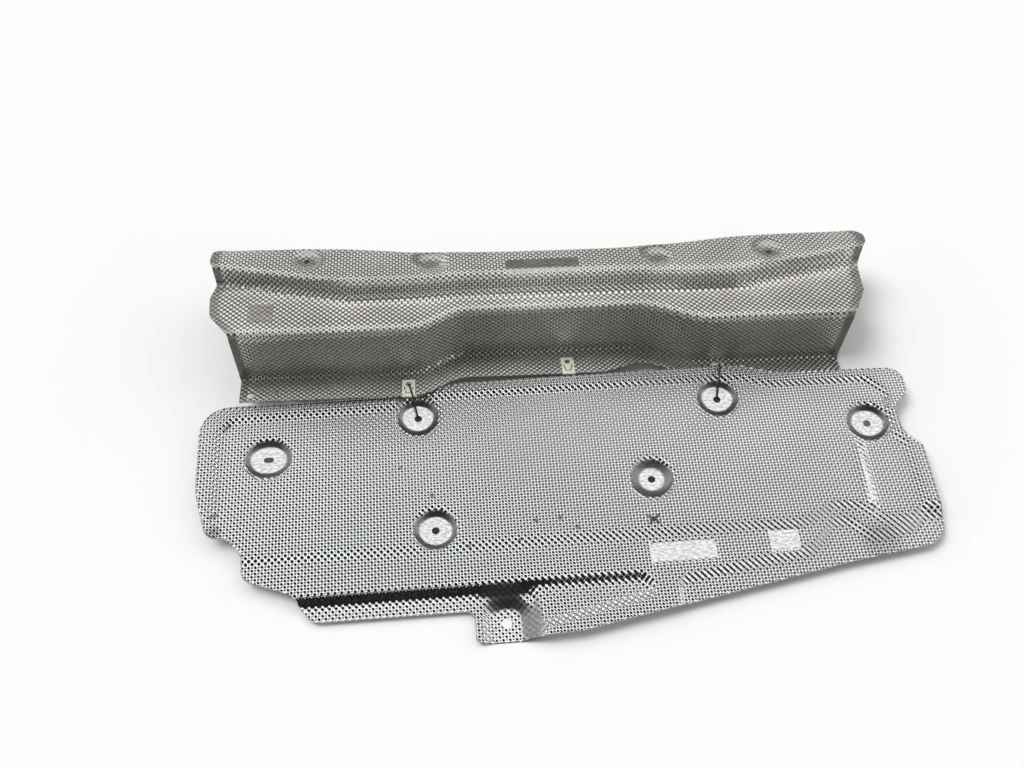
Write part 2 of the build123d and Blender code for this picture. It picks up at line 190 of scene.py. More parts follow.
def spaced(loop):
    """A closed loop in chart places with its long runs divided and its crowded points left out."""
    kept = [loop[0]]
    for place in np.vstack([loop[1:], loop[:1]]):
        run = np.hypot(*(place - kept[-1]))
        if run < LEAST_EDGE:
            continue
        steps = max(1, round(run / EDGE_STEP))
        start = kept[-1]
        kept.extend(start + (place - start) * step / steps for step in range(1, steps + 1))
    return np.array(kept[:-1] if np.hypot(*(kept[-1] - kept[0])) < LEAST_EDGE else kept)


# Charts


def filled(grid):
    """A grid with its missing values filled outwards from the known ones."""
    grid = grid.copy()
    while np.isnan(grid).any():
        padded = np.pad(grid, 1, constant_values=np.nan)
        rows, columns = grid.shape
        near = [
            padded[1 + i : 1 + i + rows, 1 + j : 1 + j + columns]
            for i, j in ((-1, 0), (1, 0), (0, -1), (0, 1))
        ]
        known = np.stack([~np.isnan(side) for side in near])
        total = np.nansum(np.stack(near), axis=0)
        count = known.sum(axis=0)
        fresh = np.isnan(grid) & (count > 0)
        grid[fresh] = total[fresh] / count[fresh]
    return grid


def softened(grid, cells, axis):
    """A grid blurred along one axis."""
    reach = math.ceil(3 * cells)
    weights = np.exp(-0.5 * (np.arange(-reach, reach + 1) / cells) ** 2)
    weights /= weights.sum()
    widths = [(reach, reach) if index == axis else (0, 0) for index in range(grid.ndim)]
    padded = np.pad(grid, widths, mode="edge")
    count = grid.shape[axis]
    blurred = np.zeros_like(grid)
    for shift, weight in enumerate(weights):
        blurred += weight * np.take(padded, range(shift, shift + count), axis=axis)
    return blurred


def eased(value, low, high):
    """0 below low, 1 above high, and soft between them."""
    share = np.clip((value - low) / (high - low), 0, 1)
    return share * share * (3 - 2 * share)


class Chart:
    """A panel's outer face over a level grid, with a along the panel and b across it."""

    def __init__(self, a, b, points):
        self.start = np.array([a[0], b[0]])
        self.step = np.array([a[1] - a[0], b[1] - b[0]])
        self.last = np.array([len(a), len(b)]) - 1.001
        along = np.gradient(points, self.step[0], axis=0)
        across = np.gradient(points, self.step[1], axis=1)
        self.layers = np.concatenate([points, along, across], axis=2)

    def lift(self, places):
        """The points at chart places, and the two directions in which the face runs there."""
        at = np.clip((places - self.start) / self.step, 0, self.last)
        cell = at.astype(int)
        part = at - cell
        i, j = cell.T
        s, t = part[:, :1], part[:, 1:]
        low = self.layers[i, j] * (1 - s) + self.layers[i + 1, j] * s
        high = self.layers[i, j + 1] * (1 - s) + self.layers[i + 1, j + 1] * s
        mixed = low * (1 - t) + high * t
        return mixed[:, 0:3], mixed[:, 3:6], mixed[:, 6:9]


def unit(vectors):
    """Vectors at length 1."""
    return vectors / np.linalg.norm(vectors, axis=-1, keepdims=True)


def flat_chart(skin, low, high, seats):
    """The flat shield from above, with x and y as chart places and with crisp creases only at its seats."""
    tree = BVHTree.FromBMesh(skin)
    a = np.arange(low.x, high.x + FLAT_STEP, FLAT_STEP)
    b = np.arange(low.y, high.y + FLAT_STEP, FLAT_STEP)
    height = np.full((len(a), len(b)), np.nan)
    down = Vector((0, 0, -1))
    for i, x in enumerate(a):
        for j, y in enumerate(b):
            met = tree.ray_cast(Vector((x, y, 1)), down)[0]
            if met is not None:
                height[i, j] = met.z
    height = filled(height)
    x, y = np.meshgrid(a, b, indexing="ij")
    softness = (SEAT_SOFT, FLAT_SOFT, FLAT_ROLLED)
    crisp, soft, rolled = [softened(softened(height, cells, 0), cells, 1) for cells in softness]
    at_line = 1 - eased(np.abs(y - ROLLED_LINE), *ROLLED_REACH)
    at_line *= eased(x, *ROLLED_START) * (1 - eased(x, *ROLLED_END))
    at_tab = 1 - eased(np.hypot(x - TAB_HOLE[0], y - TAB_HOLE[1]), *TAB_REACH)
    at_bay = eased(x - BAY_CORNER[0], 0, BAY_FADE) * eased(BAY_CORNER[1] - y, 0, BAY_FADE)
    height = soft + (rolled - soft) * np.maximum(np.maximum(at_line, at_tab), at_bay)
    for centre in seats:
        if np.hypot(*(centre - TAB_HOLE)) > TAB_REACH[0]:
            away = np.hypot(x - centre[0], y - centre[1])
            height += (crisp - height) * (1 - eased(away, *SEAT_REACH))
    return Chart(a, b, np.dstack([x, y, height]))


class TunnelChart(Chart):
    """The tunnel shield rolled out. Chart places are x and the way round the section from the shelf line."""

    def __init__(self, skin, low, high):
        tree = BVHTree.FromBMesh(skin)
        points = np.array([vert.co for vert in skin.verts])
        turns = np.arctan2(points[:, 1] - AXIS_Y, points[:, 2] - AXIS_Z)
        self.turns = np.linspace(turns.min(), turns.max(), TUNNEL_RAYS)
        self.x = np.arange(low.x, high.x + TUNNEL_STEP, TUNNEL_STEP)
        reach = np.full((len(self.x), TUNNEL_RAYS), np.nan)
        for j, turn in enumerate(self.turns):
            away = Vector((0, math.sin(turn), math.cos(turn)))
            for i, x in enumerate(self.x):
                axis = Vector((x, AXIS_Y, AXIS_Z))
                met = tree.ray_cast(axis + away, -away)[0]
                if met is not None:
                    reach[i, j] = (met - axis).dot(away)
        reach = filled(reach)
        y = AXIS_Y + reach * np.sin(self.turns)
        z = AXIS_Z + reach * np.cos(self.turns)
        runs = np.hypot(np.diff(y, axis=1), np.diff(z, axis=1))
        self.way = np.concatenate([np.zeros((len(y), 1)), np.cumsum(runs, axis=1)], axis=1)
        for i in range(len(self.x)):
            self.way[i] -= np.interp(SHELF_LINE, y[i], self.way[i])
        b = np.arange(self.way.min(), self.way.max() + TUNNEL_ACROSS_STEP, TUNNEL_ACROSS_STEP)
        layers = np.empty((len(self.x), len(b), 3))
        for i, x in enumerate(self.x):
            layers[i, :, 0] = x
            layers[i, :, 1] = np.interp(b, self.way[i], y[i])
            layers[i, :, 2] = np.interp(b, self.way[i], z[i])
        section = softened(layers[:, :, 1:], TUNNEL_LONG_SOFT, 0)
        crisp, rolled = [softened(section, cells, 1) for cells in (TUNNEL_SOFT, STEP_SOFT)]
        at_step = eased(b, *STEP_START) * (1 - eased(b, *STEP_END))
        layers[:, :, 1:] = crisp + (rolled - crisp) * at_step[:, None]
        super().__init__(self.x, b, layers)

    def flatten(self, points):
        """The chart places of points on the panel."""
        turns = np.arctan2(points[:, 1] - AXIS_Y, points[:, 2] - AXIS_Z)
        at = np.clip((points[:, 0] - self.x[0]) / TUNNEL_STEP, 0, len(self.x) - 1.001)
        places = []
        for x, turn, i in zip(points[:, 0], turns, at):
            station = int(i)
            ways = [np.interp(turn, self.turns, self.way[station + k]) for k in (0, 1)]
            places.append((x, ways[0] + (ways[1] - ways[0]) * (i - station)))
        return np.array(places)


# Embossed sheets


def lattice_of(places):
    """Where chart places lie on the lattice of domes, counted in domes along its two diagonals."""
    a, b = places.T
    return np.stack([a + b, b - a], axis=1) / (math.sqrt(2) * PITCH)


def places_of(lattice):
    """Chart places from lattice counts."""
    p, q = lattice.T
    return np.stack([p - q, p + q], axis=1) * PITCH / math.sqrt(2)


def inside(places, loops):
    """Which chart places lie in the outer loop and in no hole."""
    x, y = places.T
    odd = np.zeros(len(places), bool)
    for loop in loops:
        for (x0, y0), (x1, y1) in zip(loop, np.roll(loop, -1, axis=0)):
            if y0 == y1:
                continue
            rows = (y0 > y) != (y1 > y)
            odd[rows] ^= x[rows] < x0 + (y[rows] - y0) * (x1 - x0) / (y1 - y0)
    return odd


class Face:
    """One face of a sheet: quads on the lattice inside the loops, and triangles from them to the loops."""

    def __init__(self, loops, fineness, margin):
        self.loops = loops
        self.fineness = fineness
        rim = np.vstack(loops)
        self.rim_count = len(rim)
        corners = lattice_of(rim)
        self.first = np.floor(corners.min(axis=0) * fineness).astype(int)
        last = np.ceil(corners.max(axis=0) * fineness).astype(int)
        p, q = np.meshgrid(*(np.arange(low, high + 1) for low, high in zip(self.first, last)), indexing="ij")
        grid = np.stack([p.ravel(), q.ravel()], axis=1) / fineness
        places = places_of(grid)
        clear = inside(places, loops) & self.far_from_rim(places, margin)
        clear = clear.reshape(p.shape)
        self.used = clear[:-1, :-1] & clear[1:, :-1] & clear[:-1, 1:] & clear[1:, 1:]
        self.join(places.reshape(*p.shape, 2))

    def far_from_rim(self, places, margin):
        """Which places lie further than the margin from every loop."""
        low = np.min([loop.min(axis=0) for loop in self.loops], axis=0)
        high = np.max([loop.max(axis=0) for loop in self.loops], axis=0)
        dense = []
        for loop in self.loops:
            run = np.roll(loop, -1, axis=0) - loop
            dense += [loop + run * part / RIM_PARTS for part in range(RIM_PARTS)]
        dense = np.vstack(dense)
        tree = KDTree(len(dense))
        for index, place in enumerate(dense):
            tree.insert((*place, 0), index)
        tree.balance()
        far = ((places > low) & (places < high)).all(axis=1)
        for index in np.flatnonzero(far):
            far[index] = tree.find((*places[index], 0))[2] > margin
        return far

    def join(self, grid):
        """Numbers the vertices, the loops' first, and lists the faces."""
        numbers = np.full(grid.shape[:2], -1)
        i, j = np.nonzero(self.used)
        for di, dj in ((0, 0), (1, 0), (1, 1), (0, 1)):
            numbers[i + di, j + dj] = 0
        taken = np.nonzero(numbers == 0)
        numbers[taken] = self.rim_count + np.arange(len(taken[0]))
        self.places = np.vstack([*self.loops, grid[taken]])
        corners = [numbers[i, j], numbers[i + 1, j], numbers[i + 1, j + 1], numbers[i, j + 1]]
        self.quads = np.stack(corners, axis=1)
        sides = np.sort(np.vstack([self.quads[:, [k, (k + 1) % 4]] for k in range(4)]), axis=1)
        sides, uses = np.unique(sides, axis=0, return_counts=True)
        self.triangles = self.between(sides[uses == 1])

    def between(self, sides):
        """Triangles between the outermost quads and the loops."""
        rim_sides = []
        start = 0
        for loop in self.loops:
            ring = start + np.arange(len(loop))
            rim_sides.append(np.stack([ring, np.roll(ring, -1)], axis=1))
            start += len(loop)
        known = np.unique(np.concatenate([np.arange(self.rim_count), sides.ravel()]))
        edges = np.searchsorted(known, np.vstack([*rim_sides, sides]))
        flat = [Vector(place / MM) for place in self.places[known]]
        found = delaunay_2d_cdt(flat, edges.tolist(), [], 0, JOIN / MM)
        source = np.array([known[sources[0]] for sources in found[3]])
        triangles = source[np.array(found[2])]
        middles = self.places[triangles].mean(axis=1)
        cells = np.floor(lattice_of(middles) * self.fineness).astype(int) - self.first
        cells = np.clip(cells, 0, np.array(self.used.shape) - 1)
        free = ~self.used[cells[:, 0], cells[:, 1]]
        return triangles[free & inside(middles, self.loops)]


def dome(lattice):
    """The embossing's height, from 0 in the hollows to 1 on the domes."""
    return (2 + np.cos(2 * math.pi * lattice).sum(axis=1)) / 4


def sheet_piece(name, node, chart, loops, finish, materials, slot):
    """A closed embossed sheet that stands for a panel of the frame. Its cut edge has the second material."""
    upper = Face(loops, FINE, FINE_MARGIN)
    lower = Face(loops, COARSE, COARSE_MARGIN)
    places = np.vstack([upper.places, lower.places])
    points, along, across = chart.lift(places)
    normals = unit(np.cross(along, across))
    power, grime_and_shade = finish(points, normals, places)
    offset = len(upper.places)
    drop = np.full(len(points), SHEET)
    drop[:offset] = ((1 - dome(lattice_of(places))) * DEPTH * np.minimum(power, 1))[:offset]
    points = points - normals * drop[:, None]
    points[:offset, 2] = np.maximum(points[:offset, 2], LEAST_SKIN)
    points[offset:, 2] = np.maximum(points[offset:, 2], 0)
    normals[offset:] *= -1
    faces = [*upper.quads.tolist(), *upper.triangles.tolist()]
    faces += [face[::-1] for face in (lower.quads + offset).tolist()]
    faces += [face[::-1] for face in (lower.triangles + offset).tolist()]
    split = len(faces)
    start = 0
    for loop in loops:
        ring = start + np.arange(len(loop))
        after = np.roll(ring, -1)
        faces += np.stack([ring, ring + offset, after + offset, after], axis=1).tolist()
        start += len(loop)
    mesh = bpy.data.meshes.new(name)
    mesh.from_pydata(points.tolist(), [], faces)
    p, q = lattice_of(places).T
    for attribute, values in (("lattice_p", p), ("lattice_q", q), ("emboss", power), ("grime_and_shade", grime_and_shade)):
        layer = mesh.attributes.new(attribute, "FLOAT", "POINT")
        layer.data.foreach_set("value", values.astype(np.float32))
    for material in materials:
        mesh.materials.append(material)
    mesh.polygons.foreach_set("material_index", np.repeat([0, 1], [split, len(faces) - split]))
    shade(mesh, normals, split)
    piece = bpy.data.objects.new(name, mesh)
    bpy.context.scene.collection.objects.link(piece)
    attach(piece, "root")
    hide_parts(node)


def shade(mesh, normals, split):
    """Smooth shading by the given vertex normals, with the faces from split on shaded by themselves."""
    corners = np.empty(len(mesh.loops), int)
    mesh.loops.foreach_get("vertex_index", corners)
    custom = normals[corners]
    first = mesh.polygons[split].loop_start
    own = np.empty(len(mesh.polygons) * 3)
    mesh.polygons.foreach_get("normal", own)
    custom[first:] = np.repeat(own.reshape(-1, 3)[split:], 4, axis=0)
    mesh.polygons.foreach_set("use_smooth", np.ones(len(mesh.polygons), bool))
    mesh.normals_split_custom_set(custom.tolist())


# Materials


class Nodes:
    """Adds nodes to a tree by short calls. An input is a number, a colour or another node's output."""

    def __init__(self, tree):
        self.tree = tree

    def add(self, kind, settings, inputs):
        """A node with its settings and inputs."""
        node = self.tree.nodes.new(kind)
        for name, value in settings.items():
            setattr(node, name, value)
        for socket, value in inputs.items():
            if isinstance(value, bpy.types.NodeSocket):
                self.tree.links.new(value, node.inputs[socket])
            else:
                node.inputs[socket].default_value = value
        return node

    def maths(self, operation, *values):
        """A sum on one, two or three values."""
        return self.add("ShaderNodeMath", {"operation": operation}, dict(enumerate(values))).outputs[0]

    def attribute(self, name):
        """A value stored on the mesh."""
        return self.add("ShaderNodeAttribute", {"attribute_name": name}, {}).outputs["Fac"]

    def between(self, value, low, high, to_low=0.0, to_high=1.0):
        """A value carried softly from one range to another and kept in it."""
        settings = {"interpolation_type": "SMOOTHSTEP"}
        inputs = {"Value": value, "From Min": low, "From Max": high, "To Min": to_low, "To Max": to_high}
        return self.add("ShaderNodeMapRange", settings, inputs).outputs["Result"]

    def mix(self, share, first, second):
        """One colour running into another."""
        node = self.add("ShaderNodeMix", {"data_type": "RGBA"}, {"Factor": share})
        for socket, value in ((node.inputs[6], first), (node.inputs[7], second)):
            if isinstance(value, bpy.types.NodeSocket):
                self.tree.links.new(value, socket)
            else:
                socket.default_value = (*value, 1)
        return node.outputs[2]

    def places(self, stretch=(1, 1, 1)):
        """The frame's own coordinates in metres, drawn out along the axes."""
        where = self.add("ShaderNodeTexCoord", {}, {}).outputs["Object"]
        settings = {"operation": "MULTIPLY"}
        return self.add("ShaderNodeVectorMath", settings, {0: where, 1: stretch}).outputs["Vector"]

    def noise(self, scale, detail=3.0, stretch=(1, 1, 1)):
        """Soft random variation from 0 to 1."""
        inputs = {"Vector": self.places(stretch), "Scale": scale, "Detail": detail}
        return self.add("ShaderNodeTexNoise", {}, inputs).outputs["Fac"]

    def part(self, vector, way):
        """How far a vector goes along a fixed way."""
        settings = {"operation": "DOT_PRODUCT"}
        return self.add("ShaderNodeVectorMath", settings, {0: vector, 1: way}).outputs["Value"]

    def domes(self):
        """The embossing's height, 0 in the hollows and 1 on the domes."""
        waves = []
        for name in ("lattice_p", "lattice_q"):
            angle = self.maths("MULTIPLY", self.attribute(name), 2 * math.pi)
            waves.append(self.maths("COSINE", angle))
        return self.maths("MULTIPLY_ADD", self.maths("ADD", *waves), 0.25, 0.5)

    def bump(self, height, distance, below=None):
        """A normal tilted by a height, over another one if it is given."""
        inputs = {"Height": height, "Distance": distance}
        if below is not None:
            inputs["Normal"] = below
        return self.add("ShaderNodeBump", {}, inputs).outputs["Normal"]


def new_material(name):
    """A node material with its Principled shader."""
    material = bpy.data.materials.new(name)
    material.use_nodes = True
    return material, Nodes(material.node_tree), material.node_tree.nodes["Principled BSDF"]


def sheet_material(name, shaded_hollow, lit_top, bare, depth, roughness, metallic):
    """Bare embossed aluminium. Hollows, domes and places without embossing have their own tones: the darker
    hollows are painted shade and the lighter domes a painted highlight. The sheet is a little wavy,
    streaked, worn and marked, with painted shade in places."""
    material, nodes, shader = new_material(name)
    link = nodes.tree.links.new
    power = nodes.attribute("emboss")
    height = nodes.domes()
    worn = nodes.between(nodes.noise(14, 4), 0.3, 0.7, -0.12, 0.12)
    # From the darker hollows to the lighter domes: painted shade in the hollows and a painted highlight on
    # the domes, varied at random
    painted_shine = nodes.maths("ADD", nodes.between(height, 0.1, 0.8), worn)
    grain = nodes.between(nodes.noise(450, 4, (0.4, 1, 1)), 0.3, 0.7)
    plain = nodes.mix(grain, [GRAIN_DARK * part for part in bare], bare)
    tone = nodes.mix(power, plain, nodes.mix(painted_shine, shaded_hollow, lit_top))
    # Darkened by a mesh attribute: marks, sooty ends, darker dimples, and painted shade on the flat shield's
    # seat rings and tab walls
    grime_and_shade = nodes.attribute("grime_and_shade")
    link(nodes.mix(grime_and_shade, tone, GRIME_AND_SHADE), shader.inputs["Base Color"])
    shader.inputs["Metallic"].default_value = metallic
    streaks = nodes.between(nodes.noise(25, 3, (1, 14, 14)), 0.3, 0.7, roughness - 0.03, roughness + 0.05)
    blunt = nodes.maths("MULTIPLY", nodes.maths("SUBTRACT", 1.0, power), 0.15)
    rough = nodes.maths("ADD", streaks, nodes.maths("MAXIMUM", blunt, 0.0))
    link(nodes.maths("MULTIPLY_ADD", grime_and_shade, 0.3, rough), shader.inputs["Roughness"])
    waves = nodes.bump(nodes.noise(22, 1), 0.9 * MM)
    domes = nodes.bump(nodes.maths("MULTIPLY", height, power), depth, waves)
    link(nodes.bump(nodes.noise(1100, 3, (0.4, 1, 1)), 0.03 * MM, domes), shader.inputs["Normal"])
    return material


def edge_material():
    """The sheet's dull sheared edge."""
    material, nodes, shader = new_material("cut_edge")
    link = nodes.tree.links.new
    link(nodes.mix(nodes.noise(300, 3), (0.12, 0.12, 0.12), (0.3, 0.3, 0.3)), shader.inputs["Base Color"])
    shader.inputs["Metallic"].default_value = 1.0
    link(nodes.between(nodes.noise(700, 2), 0.3, 0.7, 0.4, 0.6), shader.inputs["Roughness"])
    link(nodes.bump(nodes.noise(2000, 2), 0.05 * MM), shader.inputs["Normal"])
    return material


# The darkening tone for marks and soiling, and for painted shade
GRIME_AND_SHADE = (0.055, 0.051, 0.045)
GRAIN_DARK = 0.62
# Tones for the hollows, the dome tops and bare sheet: the darker hollows are painted shade and the lighter
# dome tops a painted highlight
BRIGHT_TONES = ((0.7, 0.71, 0.72), (0.78, 0.79, 0.8), (0.72, 0.73, 0.74))
DARK_TONES = ((0.2, 0.193, 0.176), (0.8, 0.785, 0.742), (0.5, 0.48, 0.44))
bright_sheet = sheet_material("bright_sheet", *BRIGHT_TONES, 1.35 * MM, 0.06, 1.0)
dark_sheet = sheet_material("dark_sheet", *DARK_TONES, 0.68 * MM, 0.12, 0.78)
cut_edge = edge_material()


# Where the embossing is pressed flat, where the sheet is marked, and where shade is painted


def clear_of_disc(points, centre, inner, outer):
    """0 on a disc in plan, and 1 outside its soft edge."""
    return eased(np.hypot(*(points[:, :2] - centre).T), inner, outer)


def clear_of_pad(points, centre, half, soft=3 * MM):
    """0 on a rectangle in plan, and 1 outside its soft edge."""
    past = np.abs(points[:, :2] - centre) - half
    return eased(past.max(axis=1), -soft / 2, soft / 2)


def marks(points, strokes):
    """How far strokes of soiling darken points, seen in plan. A stroke has two ends, a width and a share."""
    dirt_and_shade = np.zeros(len(points))
    for start, end, width, share in strokes:
        start, run = np.array(start), np.subtract(end, start)
        reach = np.clip((points[:, :2] - start) @ run / max(run @ run, WELD**2), 0, 1)
        away = np.hypot(*(points[:, :2] - start - reach[:, None] * run).T)
        dirt_and_shade = np.maximum(dirt_and_shade, share * (1 - eased(away, 0.25 * width, 0.75 * width)))
    return dirt_and_shade


def spot(x, y, width, share):
    """A round mark."""
    return ((x, y), (x, y), width, share)


FLAT_PADS = (((0.119, -0.159), (0.036, 0.012)), ((0.230, -0.155), (0.016, 0.013)))
SEAT_DISC = 17 * MM
SMALL_DISC = 13 * MM
SMALL_SEAT = (0.097, -0.070)
SEAT_INNER = 21.5 * MM
SEAT_OUTER = 23.5 * MM
# Painted shade on a ring round each seat disc, from where it starts past the disc to its soft outer edge
RING_SHADE = 0.6
RING_START = 2 * MM
RING_EDGE = (22 * MM, 25 * MM)
TAB_EMBOSS = 0.7
TAB_WALLS = (34 * MM, 44 * MM)
TAB_TILT = (8, 16)
TAB_SIDE = (-12 * MM, 4 * MM)
# Painted shade on the tab's walls at its rear and right side
TAB_WALL_SHADE = 0.55
POCKET = (-0.045, -0.015)
POCKET_SHARE = 0.5
FRONT_WALL = (-0.165, -0.150)
FRONT_FACING = (0.2, 0.4)
FRONT_TILT = (18, 36)
WALL_EMBOSS = 0.2
BEAD = ((0.340, -0.046), (0.335, -0.128), 9 * MM, 0.75)
FLAT_MARKS = (
    ((0.087, -0.125), (0.097, -0.117), 2.5 * MM, 1.0),
    ((0.087, -0.117), (0.097, -0.125), 2.5 * MM, 1.0),
    ((-0.390, -0.083), (-0.384, -0.079), 2.5 * MM, 0.8),
    ((-0.381, 0.027), (-0.375, 0.035), 3 * MM, 0.6),
    spot(-0.148, -0.073, 4 * MM, 0.9),
    spot(-0.036, -0.112, 4 * MM, 0.9),
    spot(-0.010, -0.111, 4 * MM, 0.9),
    spot(0.008, -0.124, 4 * MM, 0.9),
    spot(-0.056, -0.134, 3 * MM, 0.8),
    spot(-0.110, -0.136, 3 * MM, 0.8),
    spot(-0.182, -0.036, 3 * MM, 0.8),
    spot(-0.385, -0.100, 14 * MM, 0.4),
    spot(0.335, -0.165, 40 * MM, 0.2),
)


def flat_finish(points, normals, places):
    """The flat shield's embossing, with little on seats, bare pads, bead and drawn walls, and its marks, with
    painted shade on the seat rings and on the tab's rear and right walls.
    """
    power = 1 - marks(points, (BEAD,))
    dirt_and_shade = marks(points, FLAT_MARKS)
    for loop in flat_loops[1:]:
        centre = loop.mean(axis=0)
        spare = (np.ptp(loop, axis=0) - np.ptp(loop, axis=0).min()) / 2
        away = np.hypot(*np.maximum(np.abs(points[:, :2] - centre) - spare, 0).T)
        clear = eased(away, SEAT_INNER, SEAT_OUTER)
        if np.hypot(*(centre - TAB_HOLE)) < SEAT_INNER:
            power *= TAB_EMBOSS + (1 - TAB_EMBOSS) * clear
            continue
        power *= clear
        disc = SMALL_DISC if np.hypot(*(centre - SMALL_SEAT)) < SEAT_INNER else SEAT_DISC
        ring = eased(away, disc, disc + RING_START) * (1 - eased(away, *RING_EDGE))
        # painted shade on the ring round the seat disc
        dirt_and_shade = np.maximum(dirt_and_shade, RING_SHADE * ring)
    for centre, half in FLAT_PADS:
        power *= clear_of_pad(points, centre, half)
    tilt = np.degrees(np.arccos(np.clip(normals[:, 2], -1, 1)))
    # The tab's walls at its rear and right side: weaker embossing there, and painted shade
    at_tab = (1 - clear_of_disc(points, TAB_HOLE, *TAB_WALLS)) * eased(tilt, *TAB_TILT)
    at_tab *= eased((points[:, :2] - TAB_HOLE).sum(axis=1), *TAB_SIDE)
    in_front = (1 - eased(points[:, 1], *FRONT_WALL)) * eased(-normals[:, 1], *FRONT_FACING)
    in_front = in_front * eased(tilt, *FRONT_TILT)
    in_front *= 1 - POCKET_SHARE * eased(points[:, 0], *POCKET)
    drawn = np.maximum(at_tab, in_front)
    # The second value darkens the sheet: marks, with painted shade on the seat rings and on the tab's rear
    # and right walls
    return power * (1 - (1 - WALL_EMBOSS) * drawn), np.maximum(dirt_and_shade, TAB_WALL_SHADE * at_tab)


PATCHES = (((-0.005, 0.170), (0.042, 0.012), 0.25), ((-0.330, 0.135), (0.014, 0.015), 0.3))
DIMPLES = ((-0.2745, 0.203), (-0.139, 0.196), (0.128, 0.187), (0.264, 0.190))
DIMPLE_EDGE = (15 * MM, 20 * MM)
DIMPLE_EMBOSS = 0.55
# How much darker the dimples are
DIMPLE_DARKENING = 0.2
END_EMBOSS = 0.6
END_EDGE = (6 * MM, 14 * MM)
END_REACH = 60 * MM
SOOT_EDGE = (7 * MM, 14 * MM)
SOOT_SHARE = 0.65
SOOT_LEVEL = 0.3
SOOT_EMBOSS = 0.8
LEVEL_FACING = (0.5, 0.9)
FLANGE_EMBOSS = 1.9
FLANGE_EDGE = (35 * MM, 40 * MM)
STEP_EMBOSS = 2.0
STEP_EDGE = (84 * MM, 88 * MM)
STEP_FACING = (0.25, 0.5)


def from_ends(places):
    """How far chart places on the tunnel shield are from the nearer one of its ends."""
    outline = tunnel_loops[0]
    gaps = []
    for side in (1, -1):
        out = outline[:, 0] * side
        near = np.flatnonzero(out < out.min() + END_REACH)
        near = near[np.argsort(outline[near, 1])]
        gaps.append(places[:, 0] * side - np.interp(places[:, 1], outline[near, 1], out[near]))
    return np.minimum(*gaps)


def tunnel_finish(points, normals, places):
    """The tunnel shield's embossing, weak on its end strips, dimples and patches and deep on its flange and
    step, with sooty ends and a darker tone on its dimples."""
    from_end = from_ends(places)
    power = END_EMBOSS + (1 - END_EMBOSS) * eased(from_end, *END_EDGE)
    # a darker tone on the dimples
    dimple_darkening = np.zeros(len(points))
    for centre in DIMPLES:
        clear = clear_of_disc(points, centre, *DIMPLE_EDGE)
        power *= DIMPLE_EMBOSS + (1 - DIMPLE_EMBOSS) * clear
        dimple_darkening = np.maximum(dimple_darkening, DIMPLE_DARKENING * (1 - clear))
    for centre, half, least in PATCHES:
        power *= least + (1 - least) * clear_of_pad(points, centre, half)
    level = eased(np.abs(normals[:, 2]), *LEVEL_FACING)
    low_down = 1 - eased(points[:, 2], *FLANGE_EDGE)
    power *= 1 + (FLANGE_EMBOSS - 1) * low_down * level
    at_step = eased(points[:, 2], *STEP_EDGE) * eased(-normals[:, 1], *STEP_FACING)
    power *= 1 + (STEP_EMBOSS - 1) * at_step
    at_end = 1 - eased(from_end, *SOOT_EDGE)
    power *= 1 - SOOT_EMBOSS * at_end * (1 - level)
    return power, np.maximum(at_end * (SOOT_SHARE - SOOT_LEVEL * level), dimple_darkening)


# Panels

flat_skin = outer_skin("flat_shield", from_above)
flat_loops = edges_of([loop[:, :2] for loop in rims(flat_skin)])
flat_seats = [loop.mean(axis=0) for loop in flat_loops[1:]]
flat = flat_chart(flat_skin, *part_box("flat_shield"), flat_seats)
flat_materials = (bright_sheet, cut_edge)
flat_shape = (flat, flat_loops, flat_finish)
sheet_piece("flat_panel", "flat_shield", *flat_shape, flat_materials, "bright_sheet")

tunnel_skin = outer_skin("tunnel_shield", from_axis)
tunnel = TunnelChart(tunnel_skin, *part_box("tunnel_shield"))
tunnel_loops = edges_of([tunnel.flatten(loop) for loop in rims(tunnel_skin)])
tunnel_materials = (dark_sheet, cut_edge)
tunnel_shape = (tunnel, tunnel_loops, tunnel_finish)
sheet_piece("tunnel_panel", "tunnel_shield", *tunnel_shape, tunnel_materials, "dark_sheet")


# Clips and ties


def clip_material():
    """Zinc-plated spring steel with a pale yellow passivation."""
    material, nodes, shader = new_material("clip_metal")
    link = nodes.tree.links.new
    tint = nodes.between(nodes.noise(90, 4), 0.35, 0.65)
    link(nodes.mix(tint, (0.66, 0.67, 0.52), (0.8, 0.82, 0.69)), shader.inputs["Base Color"])
    shader.inputs["Metallic"].default_value = 0.1
    link(nodes.between(nodes.noise(400, 3), 0.3, 0.7, 0.32, 0.5), shader.inputs["Roughness"])
    link(nodes.bump(nodes.noise(1500, 3), 0.04 * MM), shader.inputs["Normal"])
    return material


def tie_material():
    """Black nylon with a fine moulded grain."""
    material, nodes, shader = new_material("tie_nylon")
    link = nodes.tree.links.new
    black = nodes.mix(nodes.noise(500, 3), (0.006, 0.006, 0.007), (0.02, 0.02, 0.021))
    link(black, shader.inputs["Base Color"])
    link(nodes.between(nodes.noise(900, 2), 0.3, 0.7, 0.35, 0.55), shader.inputs["Roughness"])
    link(nodes.bump(nodes.noise(2500, 2), 0.04 * MM), shader.inputs["Normal"])
    return material


clip_metal = clip_material()
tie_nylon = tie_material()
for node, piece in frame["nodes"].items():
    if node.startswith("edge_clip"):
        piece.data.materials.clear()
        piece.data.materials.append(clip_metal)
    if node.startswith("tie_"):
        piece.data.materials.clear()
        piece.data.materials.append(tie_nylon)


# Floor, light and camera


FLOOR_WIDTH = 30
FLOOR_TONE = (0.85, 0.85, 0.85, 1)


